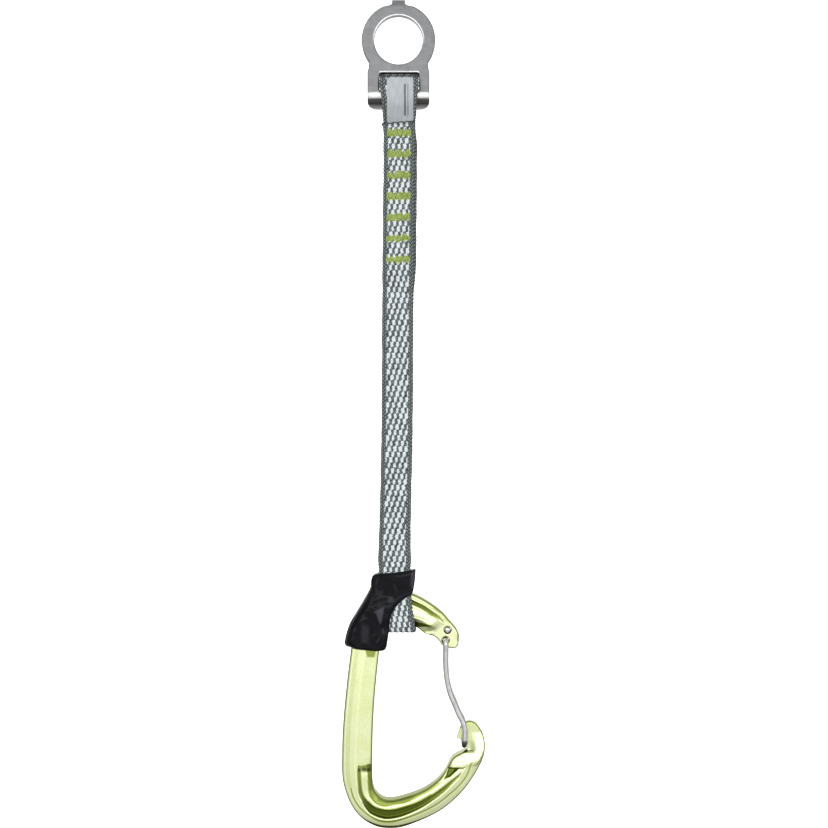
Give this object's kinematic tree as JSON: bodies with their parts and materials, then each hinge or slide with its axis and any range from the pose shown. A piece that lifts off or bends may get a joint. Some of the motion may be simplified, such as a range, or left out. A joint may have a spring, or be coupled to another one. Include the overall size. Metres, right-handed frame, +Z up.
{
  "type": "climbing quickdraw",
  "caption": "Climbing quickdraw: a steel hanger plate and a wire-gate carabiner joined by a sewn webbing sling, to connect a rope to an anchor.",
  "frame": {"origin": "centre of the round eye in the hanger plate, midway through its thickness", "axes": "+Z up, along the hanging sling towards the hanger's tab; +Y from the labelled front to the back; +X towards the carabiner's gate"},
  "size_m": [0.0572, 0.0155, 0.3308],
  "materials": {
    "steel": "tumbled satin",
    "webbing": "woven, white dashes on grey green",
    "thread": "zigzag stitched",
    "label": "satin",
    "rubber": "glossy moulded",
    "anodised": "anodised, satin",
    "wire": "drawn, polished"
  },
  "bodies": {
    "hanger": {"hanger_plate": "steel"},
    "sling_upper": {"sling_top_loop": "webbing", "sling_front_end": "webbing", "label": "label", "bartack_1": "thread", "bartack_2": "thread", "bartack_3": "thread", "bartack_4": "thread", "bartack_5": "thread", "bartack_6": "thread", "bartack_7": "thread"},
    "sling_middle": {"sling_middle_front": "webbing", "sling_middle_back": "webbing"},
    "sling_lower": {"sling_lower_front": "webbing", "sling_lower_back": "webbing"},
    "carabiner": {"sling_bottom_loop": "webbing", "keeper": "rubber", "carabiner_body": "anodised", "gate_wire_rear_end": "wire"},
    "gate": {"gate_wire": "wire"}
  },
  "joints": [
    {"name": "hanger_swing", "type": "hinge", "parent": "hanger", "child": "sling_upper", "pos_m": [0, 0.00165, -0.02355], "axis": [1, 0, 0], "range_deg": [-90, 90]},
    {"name": "sling_bend", "type": "hinge", "parent": "sling_upper", "child": "sling_middle", "pos_m": [0, 0.00165, -0.104], "axis": [1, 0, 0], "range_deg": [-90, 90]},
    {"name": "sling_twist", "type": "hinge", "parent": "sling_middle", "child": "sling_lower", "pos_m": [-0.0006, 0.00165, -0.156], "axis": [0, 0, 1], "range_deg": [-90, 90], "stiffness_Nm_per_rad": 0.002},
    {"name": "carabiner_swing", "type": "hinge", "parent": "sling_lower", "child": "carabiner", "pos_m": [-0.0016, 0.00165, -0.209], "axis": [1, 0, 0], "range_deg": [-90, 90]},
    {"name": "gate_hinge", "type": "hinge", "parent": "carabiner", "child": "gate", "pos_m": [0.0188, 0.00165, -0.2394], "axis": [0, 1, 0], "range_deg": [0, 35], "stiffness_Nm_per_rad": 0.33, "springref_deg": -42.97}
  ]
}
